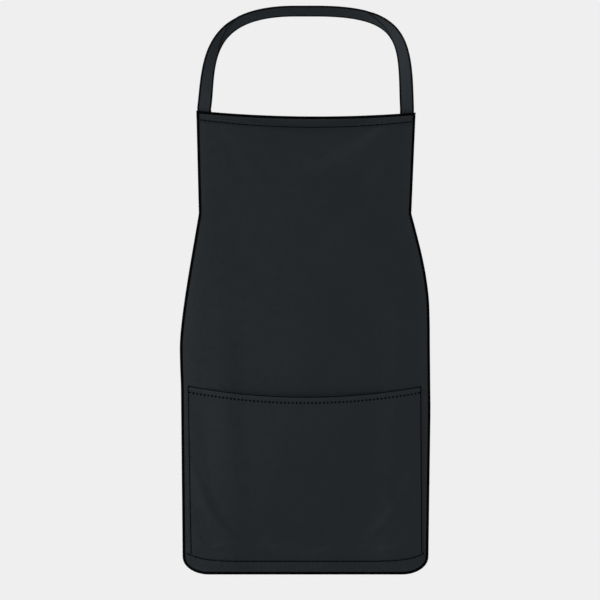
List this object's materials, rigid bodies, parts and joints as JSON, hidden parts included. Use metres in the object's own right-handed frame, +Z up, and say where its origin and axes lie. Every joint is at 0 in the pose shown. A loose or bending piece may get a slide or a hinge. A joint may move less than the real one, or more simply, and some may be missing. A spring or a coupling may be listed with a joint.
{
  "type": "lead apron",
  "caption": "Bib-style X-ray protection apron with a neck strap, a flared skirt and a full-width lower pocket, bound at its edge and hung by the strap.",
  "frame": {"origin": "the middle of the neck band's inner face, where the strap rests on the nape or on a hanger", "axes": "+Z up, +X to the right of someone facing the apron's front, +Y from the front towards the wearer"},
  "size_m": [0.6014, 0.1955, 1.3656],
  "materials": {
    "cover": "dark slate coated nylon, fine plain weave, satin",
    "lining": "dark slate coated nylon, matte",
    "lead_vinyl": "matte lead-loaded vinyl sheet",
    "binding": "black woven binding tape",
    "webbing": "dark slate flat webbing",
    "thread": "black bonded polyester thread"
  },
  "bodies": {
    "neck_strap": {"neck_strap": "webbing"},
    "bib": {"bib_front_cover": "cover", "bib_lead_outer": "lead_vinyl", "bib_lead_inner": "lead_vinyl", "bib_back_lining": "lining", "bib_edge_binding": "binding", "top_hem_facing": "cover", "top_hem_thread": "thread", "strap_tab_left": "webbing", "strap_stitch_left": "thread", "strap_tab_right": "webbing", "strap_stitch_right": "thread"},
    "skirt": {"skirt_front_cover": "cover", "skirt_lead_outer": "lead_vinyl", "skirt_lead_inner": "lead_vinyl", "skirt_back_lining": "lining", "skirt_edge_binding": "binding", "bottom_hem_facing": "cover", "bottom_hem_thread": "thread"},
    "pocket": {"pocket_panel": "cover", "pocket_hem_facing": "cover", "pocket_hem_thread": "thread", "pocket_side_thread_left": "thread", "pocket_side_thread_right": "thread"}
  },
  "joints": [
    {"name": "bib_swing", "type": "hinge", "parent": "neck_strap", "child": "bib", "pos_m": [0, -0.1488, -0.2355], "axis": [-1, 0, 0], "range_deg": [-25, 60]},
    {"name": "hip_fold", "type": "hinge", "parent": "bib", "child": "skirt", "pos_m": [0, -0.158, -0.64], "axis": [-1, 0, 0], "range_deg": [0, 75]},
    {"name": "pocket_open", "type": "hinge", "parent": "skirt", "child": "pocket", "pos_m": [0, -0.1655, -1.317], "axis": [1, 0, 0], "range_deg": [0, 8], "stiffness_Nm_per_rad": 4, "springref_deg": -5.73}
  ]
}
